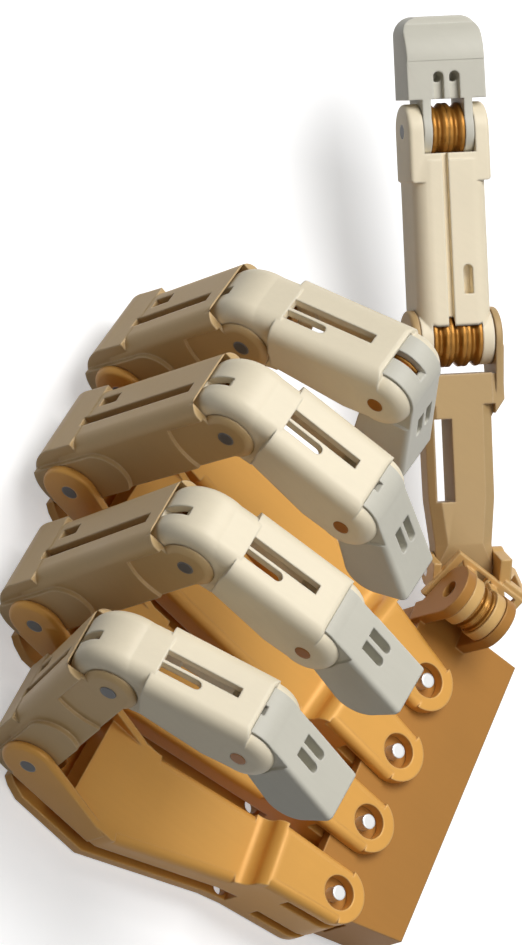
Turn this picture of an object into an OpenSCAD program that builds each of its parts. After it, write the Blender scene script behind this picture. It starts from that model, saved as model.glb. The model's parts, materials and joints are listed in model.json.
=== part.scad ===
// Tendon-driven robot hand, right, palm up (+Z), fingertips towards +Y, thumb on the +X side.
// The origin is the middle of the wrist face. The fingers are modelled half closed.

/* [Palm block] */
// Width of the block at the wrist face
wrist_w = 68.2; // [64:0.2:80]
// Length of the block from the wrist face to its distal edge
block_l = 24.9; // [24:0.1:32]
// Thickness of the block
block_t = 13.2; // [12.4:0.1:16]
// Thickness of each flange that the arms are forked over
flange_t = 2.8; // [2:0.1:3.4]
// How far the little-finger side flares outwards at the distal edge
ulnar_flare = 6.4; // [2:0.2:8]
// Distance of the arm pins from the wrist face
pin_row_y = 19.2; // [18.6:0.1:22]
// Distance from one arm pin to the next
pin_pitch = 17.55; // [16.8:0.1:19]
// Diameter of the arm pins
arm_pin_d = 3.1; // [2.5:0.1:4]

/* [Wrist mount] */
// Distance between the two outer tapped holes
wrist_bolt_w = 50; // [40:1:56]
// Tapping diameter of the wrist holes
wrist_bolt_d = 3.3; // [2.5:0.1:4.2]
// Depth of the wrist holes
wrist_bolt_depth = 9; // [6:0.5:10]
// Distance between the two dowel holes
dowel_w = 30; // [20:1:36]
// Diameter of the dowel holes
dowel_d = 3; // [2:0.1:4]

/* [Arms] */
// Thickness of the outer prongs of the fork
prong_t = 2.6; // [2:0.1:3.2]
// Radius of the rounded wrist end of each arm
tongue_r = 6.4; // [5.8:0.1:6.8]
// Diameter of the clearance hole round each pin head
pin_window_d = 7.3; // [6:0.1:8]
// Length of the raised part of the arm, from the pin to the step
tongue_l = 15; // [13:0.5:18]
// Height of the step down to the arm plate
step_h = 5.7; // [4:0.1:7]
// Thickness of the arm plate
plate_t = 6; // [4:0.1:7]
// Thickness of the dorsal strip of each arm
strip_t = 2.4; // [2:0.1:3]
// Width of the web between plate and strip
web_w = 7; // [5:0.5:9]
// Rounding of the long edges
arm_round = 1.9; // [1:0.1:2.4]
// Width across the ears of the knuckle fork
fork_w = 23.2; // [23:0.1:24.4]
// Thickness of each knuckle ear
ear_t = 1.6; // [1.2:0.1:1.8]
// Radius of the knuckle ears
ear_r = 6.1; // [5:0.1:6.4]
// Diameter of the tendon hole in the dorsal strip
tendon_hole_d = 3.3; // [2:0.1:4]

/* [Fingers] */
// Width of the proximal links
finger_w = 17.5; // [17:0.1:19]
// Radius of the knuckle of the proximal links
knuckle_r = 9.2; // [8.6:0.1:9.4]
// Height of the back of the proximal links above the second joint
back_h = 10.2; // [9.8:0.1:10.6]
// Depth of the links below the joint line, on the palm side
belly = 4.6; // [4:0.1:5.2]
// Wall thickness of the links
wall = 1.9; // [1.4:0.1:2.2]
// Rounding along the back of the links
back_round = 3.2; // [2:0.1:3.6]
// Radius of the knuckle of the middle links
mid_knuckle_r = 9.6; // [9:0.1:9.8]
// Width of the middle links
mid_w = 17; // [16.4:0.1:18]
// Width of the knuckle of the middle links
mid_knuckle_w = 13.8; // [13:0.1:14]
// Height of the back of the middle links above the third joint
mid_back_h = 8.1; // [7.8:0.1:8.6]
// Radius of the ears at the second and third joints
link_ear_r = 6.7; // [6:0.1:6.9]
// Rounding of the knuckle of the middle links
knuckle_round = 3; // [1:0.1:3.2]
// Rounding of the ears at the second and third joints
ear_round = 3; // [1:0.1:3.2]
// Width of the knuckle of the fingertips
tip_knuckle_w = 11.5; // [11:0.1:12]
// Width of the fingertips
tip_w = 12.7; // [12.5:0.1:13.6]
// Distance of the fingertip's shoulder from the third joint
tip_shoulder = 6.4; // [6:0.1:8]
// Length of the fingertips from the third joint
tip_l = 22.2; // [20:0.2:26]
// Rounding of the fingertip's nose, on the palm side
nose_r = 6.2; // [4:0.1:6.6]
// Radius of the knuckle of the fingertips
tip_knuckle_r = 7.2; // [6.9:0.1:7.4]
// Diameter of the joint pins
joint_pin_d = 3.4; // [3:0.1:4]

/* [Finger lengths] */
// Index arm, pin to knuckle
index_arm_l = 89.3; // [84:0.1:96]
// Index proximal link
index_prox_l = 37; // [36:0.5:44]
// Index middle link
index_mid_l = 31; // [28:0.5:36]
// Middle arm, pin to knuckle
middle_arm_l = 89.3; // [84:0.1:96]
// Middle proximal link
middle_prox_l = 48; // [44:0.2:54]
// Middle finger, middle link
middle_mid_l = 29; // [28:0.5:36]
// Ring arm, pin to knuckle
ring_arm_l = 83.5; // [80:0.1:92]
// Ring proximal link
ring_prox_l = 48; // [44:0.2:54]
// Ring middle link
ring_mid_l = 29; // [28:0.5:36]
// Little arm, pin to knuckle
little_arm_l = 72.5; // [68:0.1:80]
// Little proximal link
little_prox_l = 36; // [36:0.5:44]
// Little middle link
little_mid_l = 29; // [28:0.5:36]

/* [Thumb] */
// Height of the base axle above the block
axle_h = 8.1; // [7.6:0.1:9]
// How far the base axle lies outside the edge of the block
axle_out = 0.5; // [0.2:0.1:1.5]
// Diameter of the base axle
axle_d = 3.8; // [3:0.1:4.4]
// Radius of the ears that carry the base axle
base_ear_r = 5.7; // [5:0.1:5.9]
// Thickness of the base ears
base_ear_t = 2.4; // [2:0.1:2.6]
// Distance between the outer faces of the base ears
base_stack_w = 13.5; // [13.2:0.1:15]
// Width of the bracket's plate
plate_w = 11.8; // [11:0.1:12.6]
// Height of the bracket's side wall over its plate
wall_h = 13.5; // [12:0.5:15]
// Width of the metacarpal's base, between the bracket's lugs
swing_w = 12; // [11:0.1:12.4]
// Thickness of the metacarpal
meta_t = 8.2; // [7.6:0.1:9]
// Length of the thumb metacarpal, joint to joint
thumb_meta_l = 47; // [45:0.5:52]
// Length of the thumb proximal link, joint to joint
thumb_prox_l = 42.6; // [40:0.2:48]
// Length of the thumb tip from its joint
thumb_tip_l = 23.4; // [22:0.2:28]
// Width of the thumb tip
thumb_tip_w = 16.5; // [16:0.1:17.6]
// Width of the thumb proximal link
thumb_w = 15.4; // [15:0.1:16]
// Thickness of the thumb proximal link
thumb_t = 12; // [11:0.1:13]
// Width of one thumb pulley
pulley_w = 3.5; // [3.2:0.1:3.6]
// Radius of the tip pulleys of the thumb
tip_pulley_r = 5.6; // [5:0.1:5.8]
// Radius of the knuckle pulleys of the thumb
knuckle_pulley_r = 6; // [5.4:0.1:6.2]
// Diameter of the thumb joint pins
thumb_pin_d = 3; // [2.5:0.1:3.6]

/* [Fits] */
// Radial clearance of a part that turns on a pin
run_fit = 0.05; // [0.02:0.01:0.1]
// Gap between faces that slide past each other
side_gap = 0.15; // [0.1:0.05:0.3]
// Gap between a knuckle and the part that wraps it
wrap_gap = 0.3; // [0.2:0.05:0.5]

/* [Hidden] */
$fn = 64;
far = 60;
over = 0.5;

// Each finger: pin number, angle of the arm, angle of the finger, three lengths, three bends
index_finger = [0, 16.2, 12, index_arm_l, index_prox_l, index_mid_l, 92, 43, 97];
middle_finger = [1, 10.8, 9.5, middle_arm_l, middle_prox_l, middle_mid_l, 92.5, 71, 46.5];
ring_finger = [2, 3.1, 7, ring_arm_l, ring_prox_l, ring_mid_l, 90.5, 74, 22.5];
little_finger = [3, -3.8, 6, little_arm_l, little_prox_l, little_mid_l, 76, 72.5, 42.5];

arm_top = block_t / 2 + prong_t;
arm_bottom = -arm_top;
slot_z = block_t / 2 - flange_t;
slot_y = pin_row_y - tongue_r - 1.1;
slot_x = 1.55 * pin_pitch;
root_y = 9.2;
plate_top = arm_top - step_h;
plate_bottom = plate_top - plate_t;
strip_top = arm_bottom + strip_t;
axis_z = plate_top - 0.3;
ramp_a = 17;
plate_end = -11.3;
strip_end = -2.2;
channel_y = tongue_l + 0.5;

hood_l = 7;
boss_w = fork_w - 2 * ear_t - 2 * side_gap;
boss_l = 10;
boss_half = 5.8;
prox_hole_w = mid_knuckle_w + 2 * side_gap;
mid_hole_w = tip_knuckle_w + 2 * side_gap;
mid_drum_w = mid_knuckle_w - 2 * wall;
ear_face = 16;
rim_r = 13.5;
recess_z = -6;
pin_r = joint_pin_d / 2;
bore_r = pin_r + run_fit;
tip_slot_w = 2.4;
slot_end = -3.9;
groove = 1.1;
mid_lip = 0.6;
lip_r = 1;
blend = 0.04;
inset = 0.2;
hood_w = finger_w - 2 * inset;

axle_x = wrist_w / 2 + axle_out;
axle_z = block_t / 2 + axle_h;
base_front = block_l + 1;
base_back = base_front - base_stack_w;
ring_w = (base_stack_w - 2 * base_ear_t - 3.4 - 4 * side_gap) / 2;
thumb_turn = [12.6, -23.1, -57.4];
swing_at = [axle_x + 11.25, base_front - 5.25, axle_z - 8.43];
swing_hub_r = 4.3;
plate_z = 6.7;
bracket_t = 1.4;
swing_in = swing_w / 2 + side_gap;
near_lug_t = 1.6;
far_lug_t = 2.4;
thumb_pin_r = thumb_pin_d / 2;
thumb_bore_r = thumb_pin_r + run_fit;
thumb_ear_t = 1.8;
thumb_fork_in = thumb_w / 2 + side_gap;
tip_arm_t = 1.8;
tip_hub_w = 2 * pulley_w + 2 * tip_arm_t;
tip_fork_in = tip_hub_w / 2 + side_gap;
pad_w = 17.1;
pad_l = 10.5;
knuckle_drum_w = 3 * pulley_w;

// Colours
gold = [0.80, 0.60, 0.33];
bronze = [0.62, 0.43, 0.2];
cream = [0.93, 0.88, 0.78];
tan = [0.55, 0.46, 0.36];
pale = [0.84, 0.83, 0.79];
steel = [0.6, 0.6, 0.6];
brown = [0.55, 0.36, 0.14];

// ---- helpers ----

// A flat outline in Y and Z, given thickness across X and centred on X = 0
module across(w) {
    rotate([90, 0, 90]) linear_extrude(w, center = true) children();
}

// A round bar lying across X
module bar(r, w) {
    rotate([0, 90, 0]) cylinder(r = r, h = w, center = true);
}

// A round bar lying across X with its rims rounded by e
module soft_bar(r, w, e) {
    rotate([0, 90, 0]) rotate_extrude() {
        translate([0, -w / 2]) square([r - e, w]);
        translate([0, e - w / 2]) square([r, w - 2 * e]);
        for (s = [-1, 1]) translate([r - e, s * (w / 2 - e)]) circle(e);
    }
}

// A section that is square on the palm side and rounded along the back, run along Y
module back_prism(w, back, front, r, len) {
    translate([0, len, 0]) rotate([90, 0, 0]) linear_extrude(len) {
        translate([-w / 2, r - back]) square([w, front + back - r]);
        translate([r - w / 2, -back]) square([w - 2 * r, r + over]);
        for (s = [-1, 1]) translate([s * (w / 2 - r), r - back]) circle(r);
    }
}

// Cutter for a rounded edge along +Y, with the material on the -X and -Z sides
module edge_cutter(len, r) {
    c = r + blend;
    difference() {
        translate([-c, 0, -c]) cube([c + over, len, c + over]);
        translate([-c, -over, -c]) rotate([-90, 0, 0]) cylinder(r = r, h = len + 2 * over);
    }
}

// The same cutter laid from one plan point to another at height z
module edge_along(a, b, z, r) {
    translate([a[0], a[1], z]) rotate([0, 0, atan2(b[1] - a[1], b[0] - a[0]) - 90]) edge_cutter(norm(b - a), r);
}

// A drum of grooved pulleys on X, n grooves wide
module drum(r, w, n, bore) {
    pitch = w / n;
    rim = pitch * 0.17;
    rotate([0, 90, 0]) difference() {
        cylinder(r = r, h = w, center = true);
        cylinder(r = bore, h = w + 2, center = true);
        for (i = [0:n - 1]) translate([0, 0, (i + 0.5) * pitch - w / 2]) rotate_extrude()
            polygon([[r + 1, pitch / 2 - rim], [r, pitch / 2 - rim], [r - groove, rim], [r - groove, -rim],
                [r, rim - pitch / 2], [r + 1, rim - pitch / 2]]);
    }
}

// A window through the back of a link, from y0 to y1
module back_slot(x0, x1, y0, y1, depth) {
    translate([x0, y0, -far]) cube([x1 - x0, y1 - y0, far - depth]);
}

// ---- where things are ----

module at_arm(f) {
    translate([(1 - f[0]) * pin_pitch, pin_row_y, 0]) rotate([0, 0, -f[1]]) children();
}

module at_knuckle(f) {
    at_arm(f) translate([0, f[3], axis_z]) rotate([0, 0, f[1] - f[2]]) children();
}

module at_proximal(f) {
    at_knuckle(f) rotate([f[6], 0, 0]) children();
}

module at_middle(f) {
    at_proximal(f) translate([0, f[4], 0]) rotate([f[7], 0, 0]) children();
}

module at_tip(f) {
    at_middle(f) translate([0, f[5], 0]) rotate([f[8], 0, 0]) children();
}

module at_axle() {
    translate([axle_x, 0, axle_z]) children();
}

module at_swing() {
    translate(swing_at) rotate(thumb_turn) children();
}

module at_thumb_knuckle() {
    at_swing() translate([0, thumb_meta_l, 0]) children();
}

module at_thumb_tip() {
    at_thumb_knuckle() translate([0, thumb_prox_l, 0]) children();
}

// ---- palm ----

// Where a line from point q touches the circle round c, on the side given by s
function touch(q, c, r, s) =
    let (v = c - q, a = atan2(v[1], v[0]) + s * asin(r / norm(v)), l = sqrt(norm(v) * norm(v) - r * r))
    q + l * [cos(a), sin(a)];

module base_ear(y0) {
    foot = [axle_x - 5.2, axle_x - 0.7];
    c = [axle_x, axle_z];
    translate([0, y0 + base_ear_t, 0]) rotate([90, 0, 0]) linear_extrude(base_ear_t) {
        translate(c) circle(base_ear_r);
        polygon([[foot[0], block_t / 2 - over], touch([foot[0], block_t / 2], c, base_ear_r, 1), c,
            touch([foot[1], block_t / 2], c, base_ear_r, -1), [foot[1], block_t / 2 - over]]);
    }
}

module palm_block() {
    color(bronze) difference() {
        union() {
            translate([0, 0, -block_t / 2]) linear_extrude(block_t) polygon([[-wrist_w / 2, 0],
                [wrist_w / 2, 0], [wrist_w / 2, block_l], [-wrist_w / 2 - ulnar_flare, block_l]]);
            base_ear(base_back);
            base_ear(base_front - base_ear_t);
            translate([axle_x - 5.2, block_l - over, slot_z])
                cube([4.5, base_front - block_l + over, flange_t + over]);
        }
        translate([slot_x - 2 * far, slot_y, -slot_z]) cube([2 * far, far, 2 * slot_z]);
        for (i = [0:3]) translate([(1 - i) * pin_pitch, pin_row_y, 0])
            cylinder(r = arm_pin_d / 2, h = far, center = true);
        translate([axle_x, base_front + over, axle_z]) rotate([90, 0, 0])
            cylinder(r = axle_d / 2, h = base_stack_w + 2 * over);
        for (s = [-1, 1], z = [-1, 1]) translate([s * wrist_bolt_w / 2, -over, z * 3.5]) rotate([-90, 0, 0])
            cylinder(r = wrist_bolt_d / 2, h = wrist_bolt_depth + over);
        for (s = [-1, 1]) translate([s * dowel_w / 2, -over, 0]) rotate([-90, 0, 0])
            cylinder(r = dowel_d / 2, h = wrist_bolt_depth + over);
    }
}

module arm_pins() {
    color(steel) for (i = [0:3]) translate([(1 - i) * pin_pitch, pin_row_y, -block_t / 2])
        cylinder(r = arm_pin_d / 2, h = block_t + prong_t);
}

// ---- metacarpal arms ----

// A point of the finger's plan frame, seen from the arm's plan frame
function knuckle_plan(f, x, y) =
    let (t = f[1] - f[2]) [x * cos(t) - y * sin(t), f[3] + x * sin(t) + y * cos(t)];

function side_points(f, s, w, y0, y1) = [[s * tongue_r, 0], [s * 7.2, tongue_l], [s * 8, tongue_l + step_h],
    knuckle_plan(f, s * w, y0), knuckle_plan(f, s * w, y1)];

module arm_plan(f, w, y0, y1) {
    circle(tongue_r);
    right = side_points(f, 1, w, y0, y1);
    left = side_points(f, -1, w, y0, y1);
    polygon(concat(right, [for (i = [4:-1:0]) left[i]]));
}

// The dorsal strip runs on under the knuckle and ends in two chamfered corners
module strip_plan(f, w) {
    corner = [[w - 1.2, strip_end - 1.6], [w - 2.4, strip_end]];
    right = concat(side_points(f, 1, w, -24, -6.8), [for (c = corner) knuckle_plan(f, c[0], c[1])]);
    left = concat(side_points(f, -1, w, -24, -6.8), [for (c = corner) knuckle_plan(f, -c[0], c[1])]);
    circle(tongue_r);
    polygon(concat(right, [for (i = [6:-1:0]) left[i]]));
}

// Height of the arm along its length: raised tongue, S-shaped step, plate
module arm_profile(f) {
    r = step_h / 2;
    translate([-far, plate_bottom]) square([far + f[3] + far, plate_t]);
    translate([-far, plate_bottom]) square([far + tongue_l, arm_top - plate_bottom]);
    translate([tongue_l, arm_top - r]) circle(r);
    translate([tongue_l - over, plate_top - over]) square([r + over, r + over]);
    difference() {
        translate([tongue_l + r - over, plate_top - over]) square([r + over, r + over]);
        translate([tongue_l + 2 * r, plate_top + r]) circle(r);
    }
}

// One side of the knuckle fork, as an outline in Y and Z
module fork_ear(bore) {
    r = ear_r - blend;
    t = r * [-sin(ramp_a), cos(ramp_a)];
    top = plate_top - axis_z - 0.8;
    start = t[0] - (t[1] - top) / tan(ramp_a);
    low = plate_bottom - axis_z - 0.3;
    difference() {
        union() {
            circle(ear_r);
            polygon([[0, 0], t, [start, top], [start, low], [plate_end, low], touch([plate_end, low], [0, 0], r, -1)]);
        }
        circle(bore);
    }
}

module plate_edge(f, s) {
    far_end = knuckle_plan(f, s * (fork_w / 2 - inset), -24);
    run = [s * far_end[0] - 8, far_end[1] - tongue_l - step_h];
    edge_along([8, tongue_l + step_h], [8, tongue_l + step_h] + run * 0.97, plate_top, arm_round);
}

module arm(f) {
    half = fork_w / 2;
    color(gold) at_arm(f) difference() {
        union() {
            intersection() {
                translate([0, 0, plate_bottom]) linear_extrude(arm_top - plate_bottom) arm_plan(f, half - inset, -24, plate_end);
                across(4 * far) arm_profile(f);
            }
            translate([0, 0, arm_bottom]) linear_extrude(strip_t) strip_plan(f, half);
            translate([0, 0, arm_bottom]) linear_extrude(arm_top) intersection() {
                arm_plan(f, half - inset, -24, plate_end);
                translate([-far, -far]) square([2 * far, far + channel_y]);
            }
            translate([0, 0, strip_top - over]) linear_extrude(plate_bottom - strip_top + 2 * over) polygon([
                [-web_w / 2, channel_y - over], [web_w / 2, channel_y - over],
                knuckle_plan(f, web_w / 2, plate_end - 2), knuckle_plan(f, -web_w / 2, plate_end - 2)]);
            translate([0, f[3], axis_z]) rotate([0, 0, f[1] - f[2]]) for (s = [-1, 1])
                translate([s * (half - ear_t / 2), 0, 0]) across(ear_t) fork_ear(pin_r);
        }
        for (s = [-1, 1]) translate([0, 0, s * (slot_z + flange_t / 2)])
            translate([-far, -far, -flange_t / 2 - side_gap]) cube([2 * far, far + root_y, flange_t + 2 * side_gap]);
        translate([0, 0, block_t / 2]) cylinder(r = pin_window_d / 2, h = far);
        cylinder(r = arm_pin_d / 2 + run_fit, h = far, center = true);
        for (s = [-1, 1]) translate([s * 5.2, channel_y + 2, -far]) cylinder(r = tendon_hole_d / 2, h = far + strip_top);
        for (s = [0, 1]) mirror([s, 0, 0]) edge_along([tongue_r, -2], [7.2, tongue_l + 1], arm_top, arm_round);
        plate_edge(f, 1);
        mirror([1, 0, 0]) plate_edge(f, -1);
    }
}

// ---- finger links ----

// Everything of a side outline that lies below height z
module below(z) {
    intersection() {
        children();
        translate([-2 * far, -2 * far]) square([4 * far, 2 * far + z]);
    }
}

// The hollow of a link: round at the knuckle, open to the palm side, its floor sloping by tilt
module hollow(r, tilt, len) {
    h = r - blend;
    circle(r);
    translate([-h, 0]) square([2 * h, far]);
    polygon([[0, -h], [len, len * tan(tilt) - h], [len, far], [0, far]]);
}

module proximal_link(f) {
    len = f[4];
    tilt = -atan((back_h - knuckle_r + 0.4) / len);
    color(tan) at_proximal(f) difference() {
        union() {
            across(hood_w) below(belly) {
                circle(knuckle_r);
                translate([0, blend - knuckle_r]) square([hood_l, far]);
            }
            intersection() {
                rotate([tilt, 0, 0]) back_prism(finger_w, knuckle_r - 0.4, far, back_round, len - 1);
                translate([-far, 1, -far]) cube([2 * far, 2 * far, far + belly - blend]);
            }
            across(boss_w) below(belly - 0.1) {
                intersection() {
                    circle(knuckle_r - 0.15);
                    translate([-far, -boss_half]) square([far + 1, 2 * boss_half]);
                }
                translate([0, -boss_half]) square([boss_l, 2 * boss_half]);
                translate([boss_l, 0]) circle(boss_half + blend);
            }
            translate([0, len, 0]) soft_bar(link_ear_r, ear_face + inset / 2, ear_round);
        }
        for (s = [-1, 1]) translate([s * (ear_face + 6) / 2, len, 0]) across(6) intersection() {
            circle(rim_r);
            translate([-far, recess_z]) square(2 * far);
        }
        across(prox_hole_w) {
            hollow(knuckle_r - wall, tilt, 2 * len);
            translate([len, 0]) circle(mid_knuckle_r + wrap_gap);
        }
        bar(bore_r, far);
        translate([0, len, 0]) bar(pin_r, far);
        back_slot(-3, -0.5, 6, len - 5.5, 5);
        back_slot(2, 4.5, 8.5, 14.5, 5);
    }
}

module middle_link(f) {
    len = f[5];
    tilt = atan((mid_knuckle_r - mid_back_h) / len);
    step = 6.5;
    color(cream) at_middle(f) difference() {
        union() {
            intersection() {
                union() {
                    soft_bar(mid_knuckle_r, mid_knuckle_w, knuckle_round);
                    back_prism(mid_knuckle_w - inset, mid_knuckle_r - 0.15, far, knuckle_round, step + 1);
                }
                across(far) translate([-far, -far]) square([2 * far, far + 4]);
            }
            intersection() {
                rotate([tilt, 0, 0]) back_prism(mid_w, mid_knuckle_r, far, back_round, len + 3);
                across(far) polygon([[step, -far], [len + mid_lip, -far], [len + mid_lip, -3.4], [len, -3.4], [len, 4.4],
                    [len - 7.4, 4.4], [step + 0.9, 1], [step, 1]]);
            }
            translate([0, len, 0]) soft_bar(link_ear_r, mid_w + inset / 2, ear_round);
        }
        translate([0, len + mid_lip, -mid_back_h]) across(far) difference() {
            translate([-lip_r - blend, -over]) square(lip_r + blend + over);
            translate([-lip_r - blend, lip_r + blend]) circle(lip_r);
        }
        for (s = [-1, 1]) translate([s * (mid_knuckle_w / 2 + 3 + blend), 0, 0]) bar(link_ear_r + wrap_gap, 6);
        across(mid_drum_w) hollow(mid_knuckle_r - wall, tilt, len);
        across(mid_hole_w) {
            intersection() {
                hollow(mid_knuckle_r - wall - 0.1, tilt, 2 * len);
                translate([step + 3.5, -far]) square([2 * len, 2 * far]);
            }
            translate([len, 0]) circle(tip_knuckle_r + wrap_gap);
        }
        bar(bore_r, far);
        translate([0, len, 0]) bar(pin_r, far);
        back_slot(-0.8, 1.6, 7.5, len - 5, 5);
        back_slot(-3.7, -1.5, 7.5, 15.5, 5);
        translate([-2.6, 15.5, -far]) cylinder(r = 1.1 - blend, h = far - 5);
        translate([-2.2, -far, -far]) cube([2.2, far - 5.9, far - 1]);
    }
}

// Side outline of a fingertip: flat back, straight belly, round nose
module tip_outline() {
    nose = [tip_l - 7, nose_r - 7.5];
    r = nose_r - blend / 2;
    translate(nose) circle(nose_r);
    polygon([[0, -far], [tip_l, -far], [tip_l, -tip_knuckle_r], nose + r * [cos(4), sin(4)], nose,
        nose + r * [-sin(3), cos(3)], [0, 3.3]]);
}

module tip_link(f) {
    color(pale) at_tip(f) difference() {
        union() {
            bar(tip_knuckle_r, tip_knuckle_w + inset);
            intersection() {
                back_prism(tip_w, tip_knuckle_r - blend, far, 1.2, far);
                across(far) tip_outline();
            }
        }
        for (s = [0, 1]) mirror([s, 0, 0]) {
            translate([tip_knuckle_w / 2, -far, -far]) cube([far, far + tip_shoulder, 2 * far]);
            translate([tip_knuckle_w / 2 + 3 + blend, 0, 0]) bar(link_ear_r + wrap_gap, 6);
        }
        bar(bore_r, far);
        bar(tip_knuckle_r - 1.3, tip_slot_w);
        translate([-tip_slot_w / 2 + blend, -far, -far]) cube([tip_slot_w - 2 * blend, far + slot_end, 2 * far]);
        for (x = [-1.05, 2.3]) translate([x, 0, -far]) {
            translate([-1.1, 7, 0]) cube([2.2, 5, far - 2]);
            translate([0, 12, 0]) cylinder(r = 1.1 - blend, h = far - 2);
        }
    }
}

module knuckle_pin(f) {
    color(steel) at_knuckle(f) bar(pin_r, fork_w);
}

module second_pin(f) {
    color(steel) at_proximal(f) translate([0, f[4], 0]) bar(pin_r, ear_face + inset);
}

module third_pin(f) {
    color(brown) at_middle(f) translate([0, f[5], 0]) bar(pin_r, mid_w + inset);
}

module knuckle_pulleys(f) {
    color(brown) at_proximal(f) drum(6.5, prox_hole_w, 4, bore_r);
}

module second_pulleys(f) {
    color(brown) at_middle(f) drum(6.2, mid_drum_w, 3, bore_r);
}

module third_pulley(f) {
    color(brown) at_tip(f) drum(5.6, tip_slot_w, 1, bore_r);
}

// ---- thumb ----

// Along Y at the axle, from y0, radius r
module axle_ring(r, y0, w, bore) {
    translate([0, y0 + w, 0]) rotate([90, 0, 0]) difference() {
        cylinder(r = r, h = w);
        translate([0, 0, -over]) cylinder(r = bore, h = w + 2 * over);
    }
}

module thumb_base_axle() {
    color(steel) at_axle() translate([0, base_front - 1.6, 0]) rotate([90, 0, 0])
        cylinder(r = axle_d / 2, h = base_stack_w - 2.6);
}

module thumb_base_pulleys() {
    start = base_back + base_ear_t + side_gap + ring_w;
    color(brown) at_axle() translate([0, start + (3.4 + 2 * side_gap) / 2, 0]) rotate([0, 0, 90])
        drum(5, 3.4 + 2 * side_gap, 2, axle_d / 2 + run_fit);
}

// The bracket's own frame: origin on the axle, X across the plate, Z away from the axle
module at_plate() {
    at_axle() rotate([0, 135, 0]) children();
}

// One of the bracket's two lugs that hold the swing pin, reaching from side s down to the plate
module swing_lug(s, r, t) {
    at_swing() translate([s * (swing_in + t / 2), 0, 0]) {
        bar(r, t);
        across(t) polygon([[-r + 0.3, 0], [r - 0.3, 0], [r - 3.5, 12], [-r - 4.5, 12]]);
    }
}

// Triangles that alternate along a wall, n of them, pitch apart and h high
module truss_windows(n, pitch, h) {
    w = pitch * 0.8;
    for (i = [0:n - 1]) translate([i * pitch, 0]) polygon(i % 2 == 0 ? [[0, 0], [w, 0], [0, h]] : [[w, 0], [w, h], [0, h]]);
}

module thumb_bracket() {
    half = plate_w / 2;
    y0 = base_back - 4;
    y1 = base_front + 0.6;
    wall_l = 6;
    ring_y = [base_back + base_ear_t + side_gap, base_front - base_ear_t - side_gap - ring_w];
    color(gold) difference() {
        union() {
            at_plate() translate([-half, y0, plate_z]) cube([2 * half, y1 - y0, bracket_t]);
            at_plate() for (y = ring_y) {
                axle_ring(5.4, y, ring_w, axle_d / 2);
                translate([-4.6, y, 0]) cube([9.2, ring_w, plate_z + over]);
            }
            at_plate() translate([-half - 0.3, 0, 0]) across(1.6) polygon([[y0 - inset, plate_z + inset],
                [y0 + wall_l, plate_z + inset], [y0 + wall_l, plate_z + wall_h - 1], [y0 - inset, plate_z + wall_h]]);
            intersection() {
                union() {
                    swing_lug(-1, 3.4, near_lug_t);
                    swing_lug(1, 3.8, far_lug_t);
                }
                at_plate() translate([-far, -far, plate_z + over]) cube([2 * far, 2 * far, far]);
            }
        }
        at_axle() translate([0, far, 0]) rotate([90, 0, 0]) cylinder(r = axle_d / 2 + run_fit, h = far);
        at_swing() bar(thumb_pin_r, far);
        at_plate() translate([0.9 - half, y0 + 1.6, plate_z - 0.3]) linear_extrude(bracket_t + 0.8)
            mirror([1, 1, 0]) mirror([1, 0, 0]) mirror([0, 1, 0]) truss_windows(4, 3.9, 2.8);
        at_plate() translate([-half - 0.3, y0 + 1, plate_z + 3]) across(4) {
            polygon([[0, 0], [3, 0], [0, 6.6]]);
            polygon([[3.9, 1.4], [3.9, 8], [0.9, 8.4]]);
        }
    }
}

module thumb_swing_pin() {
    color(steel) at_swing() translate([(far_lug_t - near_lug_t) / 2, 0, 0])
        bar(thumb_pin_r, 2 * swing_in + near_lug_t + far_lug_t);
}

// Wedge that bevels an edge along +Y, w across and d deep, with the material on the -X and -Z sides
module bevel_along(a, b, z, w, d) {
    translate([a[0], a[1], z]) rotate([0, 0, atan2(b[1] - a[1], b[0] - a[0]) - 90])
        translate([0, norm(b - a) + inset, 0]) rotate([90, 0, 0]) linear_extrude(norm(b - a) + 2 * inset)
            polygon([[-1.2 * w, 0.2 * d], [0.2 * w, -1.2 * d], [0.2 * w, 0.2 * d]]);
}

module thumb_metacarpal() {
    len = thumb_meta_l;
    outer = thumb_fork_in + thumb_ear_t;
    half = meta_t / 2;
    root = [swing_w / 2, 0];
    shoulder = [swing_w / 2, 4.6];
    waist = [7, 14];
    top = [7.2, len - 7.4];
    color(tan) at_swing() difference() {
        union() {
            bar(swing_hub_r, swing_w - inset);
            translate([0, 0, -half]) linear_extrude(meta_t) polygon([root, shoulder, waist, top,
                [-top[0], top[1]], [-waist[0], waist[1]], [-shoulder[0], shoulder[1]], [-root[0], root[1]]]);
            translate([0, 0, inset - half]) linear_extrude(meta_t - 2 * inset) polygon([[-6, len - 18], [6, len - 18],
                [outer, len - 13], [outer, len - 7.4 - inset], [-outer, len - 7.4 - inset], [-outer, len - 13]]);
            for (s = [-1, 1]) translate([s * (thumb_fork_in + thumb_ear_t / 2), len, 0]) {
                bar(knuckle_pulley_r, thumb_ear_t - inset);
                across(thumb_ear_t - inset) polygon([[-13, 2 * inset - half], [0, blend - knuckle_pulley_r],
                    [0, knuckle_pulley_r - blend], [-13, half - 2 * inset]]);
            }
        }
        for (s = [0, 1], t = [0, 1]) mirror([s, 0, 0]) mirror([0, 0, t]) {
            bevel_along(root - [0, 2], shoulder, half, 2.3, 1.8);
            bevel_along(shoulder, waist, half, 2.3, 1.8);
            bevel_along(waist, [top[0], len - 14], half, 2.3, 1.8);
        }
        translate([0, shoulder[1], half]) rotate([19.8, 0, 0]) translate([-far, -2 * far, 0]) cube([2 * far, 2 * far, far]);
        bar(thumb_bore_r, far);
        translate([0, len, 0]) bar(thumb_pin_r, far);
        translate([-5.4, len - 33.5, -far]) cube([3.6, 17, 2 * far]);
    }
}

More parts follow.
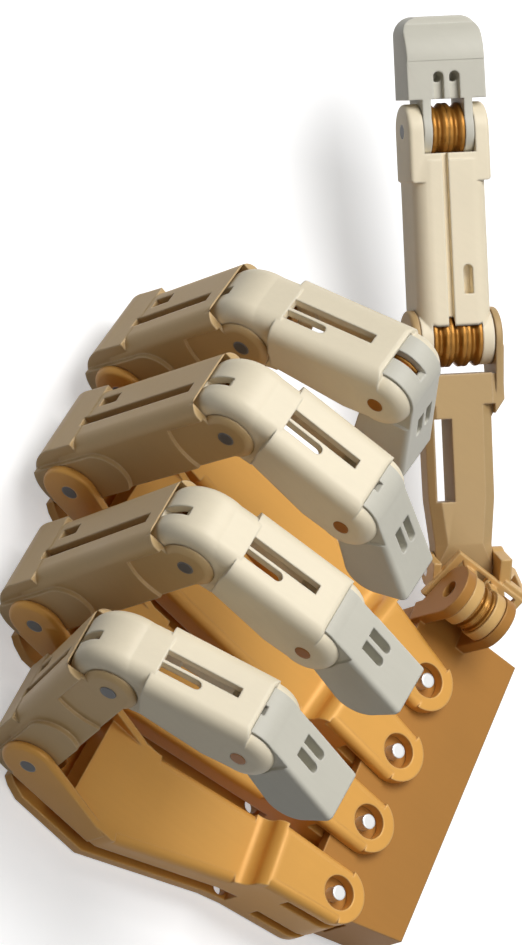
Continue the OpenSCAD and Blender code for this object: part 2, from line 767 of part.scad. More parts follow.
module thumb_proximal() {
    len = thumb_prox_l;
    half_t = thumb_t / 2 - 0.2;
    color(cream) at_thumb_knuckle() difference() {
        union() {
            bar(half_t, thumb_w);
            translate([0, len - 6, 0]) mirror([0, 1, 0]) translate([0, 0, 0]) rotate([0, 180, 0])
                back_prism(thumb_w, half_t, half_t, 3.6, len - 6);
            translate([0, len, 0]) {
                bar(tip_pulley_r, pad_w);
                across(pad_w) translate([-pad_l, -tip_pulley_r]) square([pad_l, 2 * tip_pulley_r]);
            }
        }
        bar(knuckle_pulley_r + wrap_gap, knuckle_drum_w);
        translate([-knuckle_drum_w / 2, -far, -far]) cube([knuckle_drum_w, far, 2 * far]);
        translate([0, len, 0]) {
            bar(tip_pulley_r + wrap_gap, 2 * tip_fork_in);
            translate([-tip_fork_in, 0, -far]) cube([2 * tip_fork_in, far, 2 * far]);
            translate([-tip_fork_in, -4.6, 0]) cube([2 * tip_fork_in, far, far]);
            bar(thumb_pin_r, far);
        }
        bar(thumb_bore_r, far);
        translate([-1.9, 0, half_t - 1.2]) cube([1.3, len, far]);
        translate([1.6, 9, half_t - 2.5]) cube([2, 5, far]);
        translate([2.6, 14, half_t - 2.5]) cylinder(r = 1, h = far);
    }
}

module thumb_tip() {
    len = thumb_tip_l;
    half = thumb_tip_w / 2;
    start = tip_pulley_r + 0.8;
    color(pale) at_thumb_tip() difference() {
        union() {
            for (s = [-1, 1]) translate([s * (pulley_w + tip_arm_t / 2), 0, 0]) {
                bar(tip_pulley_r, tip_arm_t);
                across(tip_arm_t) translate([0, -tip_pulley_r + 0.6]) square([start + 2, 2 * tip_pulley_r - 1.2]);
            }
            intersection() {
                translate([-half, start, -5]) cube([2 * half, len - start, 10]);
                translate([0, 0, -far]) linear_extrude(2 * far) {
                    translate([-half, 0]) square([2 * half, len - 4]);
                    translate([4 - half, 0]) square([2 * half - 8, len]);
                    for (s = [-1, 1]) translate([s * (half - 4), len - 4]) circle(4);
                }
                across(far) {
                    translate([0, -5]) square([len - 9, 10]);
                    translate([0, -5]) square([len, 6]);
                    intersection() {
                        translate([len - 9, -4]) circle(9);
                        square([far, far]);
                    }
                }
            }
        }
        bar(thumb_bore_r, far);
        for (x = [-1.7, 1.7]) {
            translate([x - 1.1, 0, 3.6]) cube([2.2, 11, far]);
            translate([x, 11, 0]) cylinder(r = 1.1, h = far);
        }
    }
}

module thumb_knuckle_pin() {
    color(steel) at_thumb_knuckle() bar(thumb_pin_r, 2 * (thumb_fork_in + thumb_ear_t));
}

module thumb_knuckle_pulleys() {
    color(brown) at_thumb_knuckle() drum(knuckle_pulley_r, knuckle_drum_w, 3, thumb_bore_r);
}

module thumb_tip_pin() {
    color(steel) at_thumb_tip() bar(thumb_pin_r, pad_w);
}

module thumb_tip_pulleys() {
    color(brown) at_thumb_tip() drum(tip_pulley_r, 2 * pulley_w, 2, thumb_bore_r);
}

palm_block();
arm_pins();
arm(index_finger);  // index_arm
arm(middle_finger);  // middle_arm
arm(ring_finger);  // ring_arm
arm(little_finger);  // little_arm
proximal_link(index_finger);  // index_proximal
proximal_link(middle_finger);  // middle_proximal
proximal_link(ring_finger);  // ring_proximal
proximal_link(little_finger);  // little_proximal
middle_link(index_finger);  // index_middle
middle_link(middle_finger);  // middle_middle
middle_link(ring_finger);  // ring_middle
middle_link(little_finger);  // little_middle
tip_link(index_finger);  // index_tip
tip_link(middle_finger);  // middle_tip
tip_link(ring_finger);  // ring_tip
tip_link(little_finger);  // little_tip
knuckle_pin(index_finger);  // index_knuckle_pin
knuckle_pin(middle_finger);  // middle_knuckle_pin
knuckle_pin(ring_finger);  // ring_knuckle_pin
knuckle_pin(little_finger);  // little_knuckle_pin
second_pin(index_finger);  // index_second_pin
second_pin(middle_finger);  // middle_second_pin
second_pin(ring_finger);  // ring_second_pin
second_pin(little_finger);  // little_second_pin
third_pin(index_finger);  // index_third_pin
third_pin(middle_finger);  // middle_third_pin
third_pin(ring_finger);  // ring_third_pin
third_pin(little_finger);  // little_third_pin
knuckle_pulleys(index_finger);  // index_knuckle_pulleys
knuckle_pulleys(middle_finger);  // middle_knuckle_pulleys
knuckle_pulleys(ring_finger);  // ring_knuckle_pulleys
knuckle_pulleys(little_finger);  // little_knuckle_pulleys
second_pulleys(index_finger);  // index_second_pulleys
second_pulleys(middle_finger);  // middle_second_pulleys
second_pulleys(ring_finger);  // ring_second_pulleys
second_pulleys(little_finger);  // little_second_pulleys
third_pulley(index_finger);  // index_third_pulley
third_pulley(middle_finger);  // middle_third_pulley
third_pulley(ring_finger);  // ring_third_pulley
third_pulley(little_finger);  // little_third_pulley
thumb_bracket();
thumb_metacarpal();
thumb_proximal();
thumb_tip();
thumb_base_axle();
thumb_base_pulleys();
thumb_swing_pin();
thumb_knuckle_pin();
thumb_knuckle_pulleys();
thumb_tip_pin();
thumb_tip_pulleys();
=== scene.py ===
import bmesh
import bpy
import json
import math
from mathutils import Matrix, Vector

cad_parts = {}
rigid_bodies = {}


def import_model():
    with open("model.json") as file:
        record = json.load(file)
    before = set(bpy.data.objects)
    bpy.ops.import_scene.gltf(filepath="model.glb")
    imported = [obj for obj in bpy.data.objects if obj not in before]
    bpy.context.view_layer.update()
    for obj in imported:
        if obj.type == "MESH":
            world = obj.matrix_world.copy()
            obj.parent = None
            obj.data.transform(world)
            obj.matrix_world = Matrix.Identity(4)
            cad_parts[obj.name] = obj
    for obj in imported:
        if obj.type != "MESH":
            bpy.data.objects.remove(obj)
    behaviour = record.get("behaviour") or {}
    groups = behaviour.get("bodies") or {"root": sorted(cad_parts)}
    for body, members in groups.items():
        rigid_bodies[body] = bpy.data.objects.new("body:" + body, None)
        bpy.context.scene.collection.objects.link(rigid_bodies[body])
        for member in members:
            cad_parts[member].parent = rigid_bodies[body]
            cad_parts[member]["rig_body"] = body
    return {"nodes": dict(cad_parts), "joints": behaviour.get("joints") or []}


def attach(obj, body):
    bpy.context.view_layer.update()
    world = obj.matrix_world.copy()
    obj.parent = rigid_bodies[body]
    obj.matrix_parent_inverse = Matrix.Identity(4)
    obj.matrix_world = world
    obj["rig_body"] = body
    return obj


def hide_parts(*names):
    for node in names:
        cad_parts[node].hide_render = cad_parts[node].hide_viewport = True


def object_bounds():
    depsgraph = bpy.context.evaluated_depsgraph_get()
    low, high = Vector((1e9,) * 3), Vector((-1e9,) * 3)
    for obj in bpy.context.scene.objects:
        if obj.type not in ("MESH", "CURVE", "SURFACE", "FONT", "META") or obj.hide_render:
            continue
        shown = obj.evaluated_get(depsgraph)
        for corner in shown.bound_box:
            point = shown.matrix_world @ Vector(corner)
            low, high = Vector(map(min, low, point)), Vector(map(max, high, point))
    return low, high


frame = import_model()
cadNodes = frame["nodes"]
jointOf = {joint["child"]: joint for joint in frame["joints"]}
lowStart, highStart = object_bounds()
print("hand loaded:", len(cadNodes), "nodes")

mm = 0.001


def addInput(tree, kind, name, value):
    tree.interface.new_socket(name, in_out="INPUT", socket_type=kind).default_value = value


def addOutput(tree, kind, name):
    tree.interface.new_socket(name, in_out="OUTPUT", socket_type=kind)


def mathNode(tree, operation, first, second=None, clamp=False):
    node = tree.nodes.new("ShaderNodeMath")
    node.operation = operation
    node.use_clamp = clamp
    for index, value in enumerate((first, second)):
        if value is None:
            continue
        if isinstance(value, (int, float)):
            node.inputs[index].default_value = value
        else:
            tree.links.new(value, node.inputs[index])
    return node.outputs[0]


def noiseNode(tree, vector, scale, detail):
    node = tree.nodes.new("ShaderNodeTexNoise")
    node.inputs["Scale"].default_value = scale
    node.inputs["Detail"].default_value = detail
    tree.links.new(vector, node.inputs["Vector"])
    return node.outputs["Fac"]


def aroundMiddle(tree, value, amount):
    return mathNode(tree, "MULTIPLY", mathNode(tree, "SUBTRACT", value, 0.5), amount)


# One shared finish for the machined pieces: fine mill lines, cloudy anodising, and lighter edges, inner
# corners included, that are partly rubbed wear and partly a painted highlight.
machining = {
    "cloudScale": 55.0,
    "cloudDetail": 4.0,
    "speckScale": 1400.0,
    "speckDetail": 2.0,
    "lineScale": 900.0,
    "lineDetail": 3.0,
    "lineStretch": (1.0, 0.06, 1.0),
    "lineShade": 0.05,
    "edgeWidth": 0.6 * mm,
    "edgeSamples": 6,
    "wearAndHighlightGain": 9.0,
    "wearAndHighlightFloor": 0.25,
    "wearPolish": 0.1,
    "cloudRoughness": 0.18,
    "bumpStrength": 0.35,
    "bumpHeight": 0.04 * mm,
}


# The edge mask lightens every sharp edge, inner and outer alike: rubbed wear plus a painted edge highlight.
def edgeWearAndHighlight(tree, values, softNormal, speck):
    geometry = tree.nodes.new("ShaderNodeNewGeometry")
    turn = tree.nodes.new("ShaderNodeVectorMath")
    turn.operation = "DOT_PRODUCT"
    tree.links.new(softNormal, turn.inputs[0])
    tree.links.new(geometry.outputs["Normal"], turn.inputs[1])
    edge = mathNode(tree, "SUBTRACT", 1.0, turn.outputs["Value"], clamp=True)
    edge = mathNode(tree, "MULTIPLY", edge, values["wearAndHighlightGain"], clamp=True)
    return mathNode(tree, "MULTIPLY", edge, mathNode(tree, "ADD", speck, values["wearAndHighlightFloor"]))


def finishColour(tree, values, given, cloud, lines, wornAndHighlit):
    shade = aroundMiddle(tree, cloud, given.outputs["Cloud"])
    lineShade = aroundMiddle(tree, lines, values["lineShade"])
    tint = tree.nodes.new("ShaderNodeVectorMath")
    tint.operation = "SCALE"
    tree.links.new(given.outputs["Colour"], tint.inputs[0])
    lift = mathNode(tree, "ADD", mathNode(tree, "ADD", shade, lineShade), 1.0)
    tree.links.new(lift, tint.inputs["Scale"])
    mix = tree.nodes.new("ShaderNodeMix")
    mix.data_type = "RGBA"
    tree.links.new(wornAndHighlit, mix.inputs[0])
    tree.links.new(tint.outputs["Vector"], mix.inputs[6])
    tree.links.new(given.outputs["Worn and highlight colour"], mix.inputs[7])
    return mix.outputs[2]


def finishRoughness(tree, values, given, cloud, wornAndHighlit):
    rough = aroundMiddle(tree, cloud, values["cloudRoughness"])
    rough = mathNode(tree, "ADD", rough, given.outputs["Roughness"])
    return mathNode(tree, "SUBTRACT", rough, mathNode(tree, "MULTIPLY", wornAndHighlit, values["wearPolish"]))


def finishNormal(tree, values, given, softNormal, lines):
    bump = tree.nodes.new("ShaderNodeBump")
    bump.inputs["Strength"].default_value = values["bumpStrength"]
    bump.inputs["Distance"].default_value = values["bumpHeight"]
    height = mathNode(tree, "MULTIPLY", lines, given.outputs["Line depth"])
    tree.links.new(height, bump.inputs["Height"])
    tree.links.new(softNormal, bump.inputs["Normal"])
    return bump.outputs["Normal"]


def buildMachiningGroup(values):
    tree = bpy.data.node_groups.new("machinedFinish", "ShaderNodeTree")
    addInput(tree, "NodeSocketColor", "Colour", (0.8, 0.6, 0.3, 1.0))
    addInput(tree, "NodeSocketColor", "Worn and highlight colour", (1.0, 0.9, 0.7, 1.0))
    addInput(tree, "NodeSocketFloat", "Roughness", 0.4)
    addInput(tree, "NodeSocketFloat", "Cloud", 0.1)
    addInput(tree, "NodeSocketFloat", "Wear and highlight", 0.5)
    addInput(tree, "NodeSocketFloat", "Line depth", 0.15)
    addOutput(tree, "NodeSocketColor", "Colour")
    addOutput(tree, "NodeSocketFloat", "Roughness")
    addOutput(tree, "NodeSocketVector", "Normal")
    given = tree.nodes.new("NodeGroupInput")
    out = tree.nodes.new("NodeGroupOutput")
    place = tree.nodes.new("ShaderNodeTexCoord").outputs["Object"]
    stretch = tree.nodes.new("ShaderNodeMapping")
    stretch.inputs["Scale"].default_value = values["lineStretch"]
    tree.links.new(place, stretch.inputs["Vector"])
    cloud = noiseNode(tree, place, values["cloudScale"], values["cloudDetail"])
    speck = noiseNode(tree, place, values["speckScale"], values["speckDetail"])
    lines = noiseNode(tree, stretch.outputs["Vector"], values["lineScale"], values["lineDetail"])
    bevel = tree.nodes.new("ShaderNodeBevel")
    bevel.samples = values["edgeSamples"]
    bevel.inputs["Radius"].default_value = values["edgeWidth"]
    softNormal = bevel.outputs["Normal"]
    wornAndHighlit = edgeWearAndHighlight(tree, values, softNormal, speck)
    wornAndHighlit = mathNode(tree, "MULTIPLY", wornAndHighlit, given.outputs["Wear and highlight"], clamp=True)
    tree.links.new(finishColour(tree, values, given, cloud, lines, wornAndHighlit), out.inputs["Colour"])
    tree.links.new(finishRoughness(tree, values, given, cloud, wornAndHighlit), out.inputs["Roughness"])
    tree.links.new(finishNormal(tree, values, given, softNormal, lines), out.inputs["Normal"])
    return tree


machinedFinish = buildMachiningGroup(machining)

# Anodised and ground finishes. Colours are linear, the worn colour is the lighter edges' colour, partly
# rubbed wear and partly a painted highlight, metal a plain value.
finishes = {
    "blockBronze": {
        "colour": (0.42, 0.19, 0.035), "wornAndHighlit": (0.72, 0.44, 0.18), "rough": 0.5, "metal": 0.1, "wearAndHighlight": 0.5,
    },
    "armGold": {
        "colour": (0.76, 0.385, 0.08), "wornAndHighlit": (0.95, 0.68, 0.33), "rough": 0.4, "metal": 0.12, "wearAndHighlight": 0.5,
    },
    "bracketGold": {
        "colour": (0.70, 0.43, 0.155), "wornAndHighlit": (0.95, 0.72, 0.4), "rough": 0.45, "metal": 0.1, "wearAndHighlight": 0.5,
    },
    "linkTan": {
        "colour": (0.58, 0.40, 0.19), "wornAndHighlit": (0.82, 0.65, 0.42), "rough": 0.46, "metal": 0.08, "wearAndHighlight": 0.5,
    },
    "linkCream": {
        "colour": (0.90, 0.80, 0.60), "wornAndHighlit": (0.96, 0.92, 0.82), "rough": 0.45, "metal": 0.02, "wearAndHighlight": 0.5,
    },
    "tipPale": {
        "colour": (0.66, 0.635, 0.54), "wornAndHighlit": (0.9, 0.88, 0.82), "rough": 0.48, "metal": 0.0, "wearAndHighlight": 0.4,
    },
    # The thumb's tan is the links' tan made darker: painted shade.
    "thumbTanShaded": {
        "colour": (0.49, 0.33, 0.15), "wornAndHighlit": (0.78, 0.6, 0.4), "rough": 0.48, "metal": 0.08, "wearAndHighlight": 0.5,
    },
    "thumbCream": {
        "colour": (0.92, 0.81, 0.6), "wornAndHighlit": (0.96, 0.92, 0.82), "rough": 0.46, "metal": 0.02, "wearAndHighlight": 0.4,
    },
    "pulleyBrown": {
        "colour": (0.32, 0.14, 0.02), "wornAndHighlit": (0.85, 0.55, 0.2), "rough": 0.28, "metal": 0.55, "wearAndHighlight": 0.2,
    },
    "pinSteel": {
        "colour": (0.78, 0.78, 0.77), "wornAndHighlit": (0.9, 0.9, 0.9), "rough": 0.3, "metal": 0.6, "wearAndHighlight": 0.4,
    },
    "pinDark": {
        "colour": (0.13, 0.13, 0.135), "wornAndHighlit": (0.4, 0.4, 0.4), "rough": 0.4, "metal": 0.1, "wearAndHighlight": 0.5,
    },
    "pinBronze": {
        "colour": (0.34, 0.12, 0.012), "wornAndHighlit": (0.6, 0.32, 0.1), "rough": 0.4, "metal": 0.1, "wearAndHighlight": 0.5,
    },
}
everyFinish = {"shine": 0.3, "cloud": 0.16, "lineDepth": 1.0}


def makeFinish(name, values):
    material = bpy.data.materials.new(name)
    material.use_nodes = True
    tree = material.node_tree
    shader = tree.nodes["Principled BSDF"]
    shader.inputs["Metallic"].default_value = values["metal"]
    shader.inputs["Specular IOR Level"].default_value = everyFinish["shine"]
    group = tree.nodes.new("ShaderNodeGroup")
    group.node_tree = machinedFinish
    group.inputs["Colour"].default_value = (*values["colour"], 1.0)
    group.inputs["Worn and highlight colour"].default_value = (*values["wornAndHighlit"], 1.0)
    group.inputs["Roughness"].default_value = values["rough"]
    group.inputs["Cloud"].default_value = everyFinish["cloud"]
    group.inputs["Wear and highlight"].default_value = values["wearAndHighlight"]
    group.inputs["Line depth"].default_value = everyFinish["lineDepth"]
    tree.links.new(group.outputs["Colour"], shader.inputs["Base Color"])
    tree.links.new(group.outputs["Roughness"], shader.inputs["Roughness"])
    tree.links.new(group.outputs["Normal"], shader.inputs["Normal"])
    return material


materials = {name: makeFinish(name, values) for name, values in finishes.items()}

# The finish of each piece: by its whole name first, then by how its name ends.
finishOfPiece = {
    "palm_block": "blockBronze",
    "thumb_bracket": "bracketGold",
    "thumb_metacarpal": "thumbTanShaded",
    "thumb_proximal": "thumbCream",
    "thumb_tip_pin": "pinDark",
}
finishOfEnding = {
    "_arm": "armGold",
    "_proximal": "linkTan",
    "_middle": "linkCream",
    "_tip": "tipPale",
    "_pulley": "pulleyBrown",
    "_pulleys": "pulleyBrown",
    "_third_pin": "pinBronze",
    "_knuckle_pin": "pinDark",
    "_second_pin": "pinDark",
}


def finishFor(node):
    if node in finishOfPiece:
        return finishOfPiece[node]
    for ending, finish in finishOfEnding.items():
        if node.endswith(ending):
            return finish
    return "pinSteel"


for name, node in cadNodes.items():
    for slot in node.material_slots:
        slot.material = materials[finishFor(name)]
print("finishes set on", len(cadNodes), "pieces")

# A grooved pulley is a grid wrapped round its pin; copies along the pin make the drum.
# The profile runs across one pulley: how far along, and what share of the groove's depth is cut there.
pulleyShape = {
    "aroundSteps": 72,
    "profileSteps": 46,
    "seam": 0.1 * mm,
    "grooveDepth": 0.85 * mm,
    "weld": 0.001 * mm,
    "profile": [
        (0.0, 0.2), (0.05, 0.0), (0.22, 0.0), (0.46, 1.0),
        (0.54, 1.0), (0.78, 0.0), (0.95, 0.0), (1.0, 0.2),
    ],
}
fingerGrooves = {"knuckle_pulleys": 4, "second_pulleys": 3, "third_pulley": 1}
thumbGrooves = {"thumb_base_pulleys": 2, "thumb_knuckle_pulleys": 3, "thumb_tip_pulleys": 2}


def profileCurve(tree, along, points):
    shape = tree.nodes.new("ShaderNodeFloatCurve")
    tree.links.new(along, shape.inputs["Value"])
    curve = shape.mapping.curves[0]
    for x, y in points[1:-1]:
        curve.points.new(x, y)
    for point, (x, y) in zip(curve.points, points):
        point.location = (x, y)
        point.handle_type = "VECTOR"
    shape.mapping.update()
    return shape.outputs[0]


def pulleyPosition(tree, values, given, width):
    place = tree.nodes.new("GeometryNodeInputPosition")
    split = tree.nodes.new("ShaderNodeSeparateXYZ")
    tree.links.new(place.outputs[0], split.inputs[0])
    step = 1.0 / values["profileSteps"]
    across = mathNode(tree, "ADD", split.outputs["X"], 0.5)
    along = mathNode(tree, "SUBTRACT", across, step)
    along = mathNode(tree, "DIVIDE", along, 1.0 - 2.0 * step, clamp=True)
    axial = mathNode(tree, "MULTIPLY", mathNode(tree, "SUBTRACT", along, 0.5), width)
    fromMiddle = mathNode(tree, "ABSOLUTE", split.outputs["X"])
    outer = mathNode(tree, "LESS_THAN", fromMiddle, 0.5 - 0.5 * step)
    cut = profileCurve(tree, along, values["profile"])
    web = mathNode(tree, "SUBTRACT", given.outputs["Radius"], given.outputs["Bore radius"])
    web = mathNode(tree, "SUBTRACT", web, mathNode(tree, "MULTIPLY", cut, given.outputs["Groove depth"]))
    radius = mathNode(tree, "ADD", given.outputs["Bore radius"], mathNode(tree, "MULTIPLY", web, outer))
    angle = mathNode(tree, "MULTIPLY", split.outputs["Y"], 2.0 * math.pi)
    spot = tree.nodes.new("ShaderNodeCombineXYZ")
    tree.links.new(axial, spot.inputs["X"])
    tree.links.new(mathNode(tree, "MULTIPLY", radius, mathNode(tree, "COSINE", angle)), spot.inputs["Y"])
    tree.links.new(mathNode(tree, "MULTIPLY", radius, mathNode(tree, "SINE", angle)), spot.inputs["Z"])
    return spot.outputs[0]


def wrappedPulley(tree, values, given, width):
    sheet = tree.nodes.new("GeometryNodeMeshGrid")
    sheet.inputs["Size X"].default_value = 1.0
    sheet.inputs["Size Y"].default_value = 1.0
    sheet.inputs["Vertices X"].default_value = values["profileSteps"] + 1
    sheet.inputs["Vertices Y"].default_value = values["aroundSteps"] + 1
    wrap = tree.nodes.new("GeometryNodeSetPosition")
    tree.links.new(sheet.outputs["Mesh"], wrap.inputs["Geometry"])
    tree.links.new(pulleyPosition(tree, values, given, width), wrap.inputs["Position"])
    close = tree.nodes.new("GeometryNodeMergeByDistance")
    close.inputs["Distance"].default_value = values["weld"]
    tree.links.new(wrap.outputs[0], close.inputs[0])
    smooth = tree.nodes.new("GeometryNodeSetShadeSmooth")
    tree.links.new(close.outputs[0], smooth.inputs[0])
    return smooth.outputs[0]


def buildPulleyGroup(values):
    tree = bpy.data.node_groups.new("pulleyStack", "GeometryNodeTree")
    addInput(tree, "NodeSocketInt", "Pulleys", 3)
    addInput(tree, "NodeSocketFloat", "Width", 10.0 * mm)
    addInput(tree, "NodeSocketFloat", "Radius", 6.0 * mm)
    addInput(tree, "NodeSocketFloat", "Bore radius", 1.7 * mm)
    addInput(tree, "NodeSocketFloat", "Groove depth", values["grooveDepth"])
    addInput(tree, "NodeSocketFloat", "Seam", values["seam"])
    tree.interface.new_socket("Material", in_out="INPUT", socket_type="NodeSocketMaterial")
    addOutput(tree, "NodeSocketGeometry", "Geometry")
    given = tree.nodes.new("NodeGroupInput")
    out = tree.nodes.new("NodeGroupOutput")
    pitch = mathNode(tree, "DIVIDE", given.outputs["Width"], given.outputs["Pulleys"])
    width = mathNode(tree, "SUBTRACT", pitch, given.outputs["Seam"])
    start = mathNode(tree, "MULTIPLY", mathNode(tree, "SUBTRACT", given.outputs["Width"], pitch), -0.5)
    row = tree.nodes.new("GeometryNodeMeshLine")
    row.mode = "OFFSET"
    tree.links.new(given.outputs["Pulleys"], row.inputs["Count"])
    for value, socket in ((start, row.inputs["Start Location"]), (pitch, row.inputs["Offset"])):
        vector = tree.nodes.new("ShaderNodeCombineXYZ")
        tree.links.new(value, vector.inputs["X"])
        tree.links.new(vector.outputs[0], socket)
    repeat = tree.nodes.new("GeometryNodeInstanceOnPoints")
    tree.links.new(row.outputs[0], repeat.inputs["Points"])
    tree.links.new(wrappedPulley(tree, values, given, width), repeat.inputs["Instance"])
    realize = tree.nodes.new("GeometryNodeRealizeInstances")
    tree.links.new(repeat.outputs[0], realize.inputs[0])
    paint = tree.nodes.new("GeometryNodeSetMaterial")
    tree.links.new(realize.outputs[0], paint.inputs["Geometry"])
    tree.links.new(given.outputs["Material"], paint.inputs["Material"])
    tree.links.new(paint.outputs[0], out.inputs[0])
    return tree


pulleyStack = buildPulleyGroup(pulleyShape)


def fillPiece(piece, group, values):
    modifier = piece.modifiers.new("shape", "NODES")
    modifier.node_group = group
    for item in group.interface.items_tree:
        if item.item_type == "SOCKET" and item.in_out == "INPUT" and item.name in values:
            modifier[item.identifier] = values[item.name]
    graph = bpy.context.evaluated_depsgraph_get()
    made = bpy.data.meshes.new_from_object(piece.evaluated_get(graph))
    piece.modifiers.remove(modifier)
    piece.data = made


def newPiece(name, mesh):
    piece = bpy.data.objects.new(name, mesh)
    bpy.context.scene.collection.objects.link(piece)
    return piece


def pinLine(joint):
    return Vector(joint["pos_m"]), Vector(joint["axis"]).normalized()


# Where a point is by a pin: along it from the joint's middle, and out from it.
def byPin(point, centre, axis):
    offset = point - centre
    along = offset.dot(axis)
    return along, (offset - axis * along).length


def addDrum(name, grooves):
    body = cadNodes[name]["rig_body"]
    centre, axis = pinLine(jointOf[body])
    spots = [byPin(vertex.co, centre, axis) for vertex in cadNodes[name].data.vertices]
    first, last = min(along for along, out in spots), max(along for along, out in spots)
    piece = newPiece(name + "_grooved", bpy.data.meshes.new(name + "_grooved"))
    fillPiece(piece, pulleyStack, {
        "Pulleys": grooves,
        "Width": last - first,
        "Radius": max(out for along, out in spots),
        "Bore radius": min(out for along, out in spots),
        "Material": materials["pulleyBrown"],
    })
    turn = Vector((1.0, 0.0, 0.0)).rotation_difference(axis).to_matrix().to_4x4()
    middle = centre + axis * (last + first) / 2.0
    piece.data.transform(Matrix.Translation(middle) @ turn)
    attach(piece, body)
    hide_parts(name)


for name in sorted(cadNodes):
    if name in thumbGrooves:
        addDrum(name, thumbGrooves[name])
        continue
    for ending, grooves in fingerGrooves.items():
        if name.endswith(ending):
            addDrum(name, grooves)
print("pulley drums made")

# Rounded copies: the forks' outer rims, found by the pin that each fork holds, and the thumb tip's face.
# A rim lies out from the pin between bore and around, or as far as ramp where it is above the arm's plate.
rounding = {
    "sharp": 0.6,
    "onFace": 0.05 * mm,
    "weld": 0.001 * mm,
    "flatAngle": math.radians(1.0),
    "smoothAngle": math.radians(28.0),
    "steps": 5,
}
armRims = {"around": 6.6 * mm, "bore": 2.6 * mm, "ramp": 26.0 * mm, "above": 3.7 * mm, "depth": 1.1 * mm}
earRims = {"around": 13.0 * mm, "bore": 2.6 * mm, "ramp": 0.0, "above": 0.0, "depth": 0.8 * mm}
forkRims = dict(earRims, around=7.6 * mm)
tipFace = {"side": 5.6 * mm, "end": 1.0 * mm, "depth": 1.7 * mm}


def rimChooser(name, joint, values):
    centre, axis = pinLine(joint)
    spots = [byPin(vertex.co, centre, axis) for vertex in cadNodes[name].data.vertices]
    face = max(abs(along) for along, out in spots if out < values["around"])

    def onRim(vertex):
        along, out = byPin(vertex.co, centre, axis)
        if abs(abs(along) - face) > rounding["onFace"] or out < values["bore"]:
            return False
        return out < values["around"] or (vertex.co.z > values["above"] and out < values["ramp"])

    return onRim


def faceChooser(name, joint, values):
    middle, across = pinLine(joint)
    points = [vertex.co for vertex in cadNodes[name].data.vertices]
    along = max(points, key=lambda point: (point - middle).length) - middle
    along = (along - across * along.dot(across)).normalized()
    outward = across.cross(along)
    outward = outward if outward.z > 0.0 else -outward
    front = max(point.dot(outward) for point in points)
    far = max(point.dot(along) for point in points)

    def onOutline(vertex):
        point = vertex.co
        if point.dot(outward) < front - values["end"]:
            return False
        return abs((point - middle).dot(across)) > values["side"] or point.dot(along) > far - values["end"]

    return onOutline


def addRounded(name, chosen, depth):
    form = bmesh.new()
    form.from_mesh(cadNodes[name].data)
    bmesh.ops.remove_doubles(form, verts=form.verts, dist=rounding["weld"])
    bmesh.ops.dissolve_limit(form, angle_limit=rounding["flatAngle"], verts=form.verts, edges=form.edges)
    rims = [edge for edge in form.edges
            if edge.calc_face_angle(0.0) > rounding["sharp"] and all(map(chosen, edge.verts))]
    bmesh.ops.bevel(form, geom=rims, offset=depth, offset_type="OFFSET", segments=rounding["steps"],
                    profile=0.5, affect="EDGES", clamp_overlap=True)
    mesh = bpy.data.meshes.new(name + "_rounded")
    form.to_mesh(mesh)
    form.free()
    if "custom_normal" in mesh.attributes:
        mesh.attributes.remove(mesh.attributes["custom_normal"])
    mesh.shade_smooth()
    mesh.set_sharp_from_angle(angle=rounding["smoothAngle"])
    mesh.materials.clear()
    mesh.materials.append(materials[finishFor(name)])
    piece = newPiece(name + "_rounded", mesh)
    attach(piece, cadNodes[name]["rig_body"])
    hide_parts(name)
    print(name, "edges rounded:", len(rims))


for name in sorted(cadNodes):
    if name.endswith("_arm"):
        knuckle = jointOf[name.replace("_arm", "_proximal")]
        addRounded(name, rimChooser(name, knuckle, armRims), armRims["depth"])
tipJoint, thumbKnuckle = jointOf["thumb_distal"], jointOf["thumb_proximal"]
onEar = rimChooser("thumb_proximal", tipJoint, earRims)
onFork = rimChooser("thumb_metacarpal", thumbKnuckle, forkRims)
onTipFace = faceChooser("thumb_tip", tipJoint, tipFace)
addRounded("thumb_proximal", onEar, earRims["depth"])
addRounded("thumb_metacarpal", onFork, forkRims["depth"])
addRounded("thumb_tip", onTipFace, tipFace["depth"])

# The hand is seen from above its little-finger side, through a very long lens.
viewing = {
    "right": Vector((0.3467, -0.7243, 0.596)),
    "back": Vector((-0.4739, 0.4132, 0.7777)),
    "pinAt": Vector((17.5, 19.2, 9.2)) * mm,
    "centreRight": -34.08 * mm,
    "centreUp": 42.45 * mm,
    "distance": 3.0,
    "heightSeen": 192.86 * mm,
    "sensor": 36.0,
    "nearest": 0.1,
    "farthest": 20.0,
}


def placeCamera(values):
    camera = bpy.data.objects.new("camera", bpy.data.cameras.new("camera"))
    bpy.context.scene.collection.objects.link(camera)
    back = values["back"].normalized()
    right = (values["right"] - back * values["right"].dot(back)).normalized()
    up = back.cross(right)
    turn = Matrix((right, up, back)).transposed()
    middle = values["pinAt"] + right * values["centreRight"] + up * values["centreUp"]
    camera.matrix_world = Matrix.Translation(middle + back * values["distance"]) @ turn.to_4x4()
    camera.data.sensor_width = values["sensor"]
    camera.data.sensor_fit = "AUTO"
    camera.data.lens = values["sensor"] * values["distance"] / values["heightSeen"]
    camera.data.clip_start = values["nearest"]
    camera.data.clip_end = values["farthest"]
    bpy.context.scene.camera = camera


placeCamera(viewing)

studio = {
    "floorSize": 6.0,
    "floorGap": 0.5 * mm,
    "floorRoughness": 0.9,
    "floorGrey": 0.25,
    "floorWhite": 0.9,
    "floorLift": 0.45,
    "worldLight": 0.04,
    "lampSize": 0.8,
    "lampAim": Vector((0.0, 0.06, 0.02)),
    "keyPower": 15.5,
    "keyFrom": Vector((0.546, 0.256, 1.294)),
    "topPower": 4.0,
    "topFrom": Vector((-0.42, -0.02, 1.32)),
}


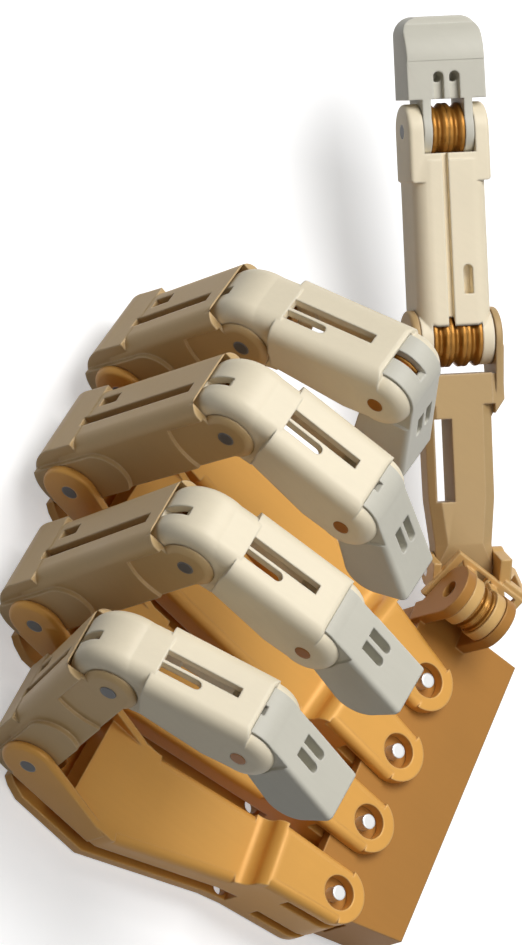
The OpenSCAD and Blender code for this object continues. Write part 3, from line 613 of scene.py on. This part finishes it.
def addLamp(name, power, place):
    lamp = bpy.data.lights.new(name, "AREA")
    lamp.energy = power
    lamp.size = studio["lampSize"]
    thing = bpy.data.objects.new(name, lamp)
    bpy.context.scene.collection.objects.link(thing)
    thing.location = place
    thing.rotation_mode = "QUATERNION"
    thing.rotation_quaternion = (place - studio["lampAim"]).to_track_quat("Z", "Y")


# 1 for what the camera, a reflection or a clear piece sees, and 0 for the light that falls on the hand.
def raySeen(tree):
    path = tree.nodes.new("ShaderNodeLightPath")
    seen = mathNode(tree, "MAXIMUM", path.outputs["Is Camera Ray"], path.outputs["Is Glossy Ray"])
    return mathNode(tree, "MAXIMUM", seen, path.outputs["Is Transmission Ray"])


def between(tree, seen, low, high):
    return mathNode(tree, "ADD", mathNode(tree, "MULTIPLY", seen, high - low), low)


def buildFloor(values):
    height = lowStart.z - values["floorGap"]
    bpy.ops.mesh.primitive_plane_add(size=values["floorSize"], location=(0.0, 0.0, height))
    floor = bpy.context.object
    floor.name = "floor"
    paint = bpy.data.materials.new("studioFloor")
    paint.use_nodes = True
    tree = paint.node_tree
    shader = tree.nodes["Principled BSDF"]
    shader.inputs["Roughness"].default_value = values["floorRoughness"]
    shader.inputs["Specular IOR Level"].default_value = 0.0
    shader.inputs["Emission Color"].default_value = (1.0, 1.0, 1.0, 1.0)
    seen = raySeen(tree)
    tone = between(tree, seen, values["floorGrey"], values["floorWhite"])
    tree.links.new(tone, shader.inputs["Base Color"])
    lift = mathNode(tree, "MULTIPLY", seen, values["floorLift"])
    tree.links.new(lift, shader.inputs["Emission Strength"])
    floor.data.materials.append(paint)


def buildWorld(values):
    world = bpy.data.worlds.new("studio")
    bpy.context.scene.world = world
    world.use_nodes = True
    tree = world.node_tree
    background = tree.nodes["Background"]
    background.inputs["Color"].default_value = (1.0, 1.0, 1.0, 1.0)
    tree.links.new(between(tree, raySeen(tree), values["worldLight"], 1.0), background.inputs["Strength"])


buildFloor(studio)
buildWorld(studio)
addLamp("key", studio["keyPower"], studio["keyFrom"])
addLamp("top", studio["topPower"], studio["topFrom"])
bpy.context.scene.view_settings.view_transform = "Standard"
print("studio and camera ready")
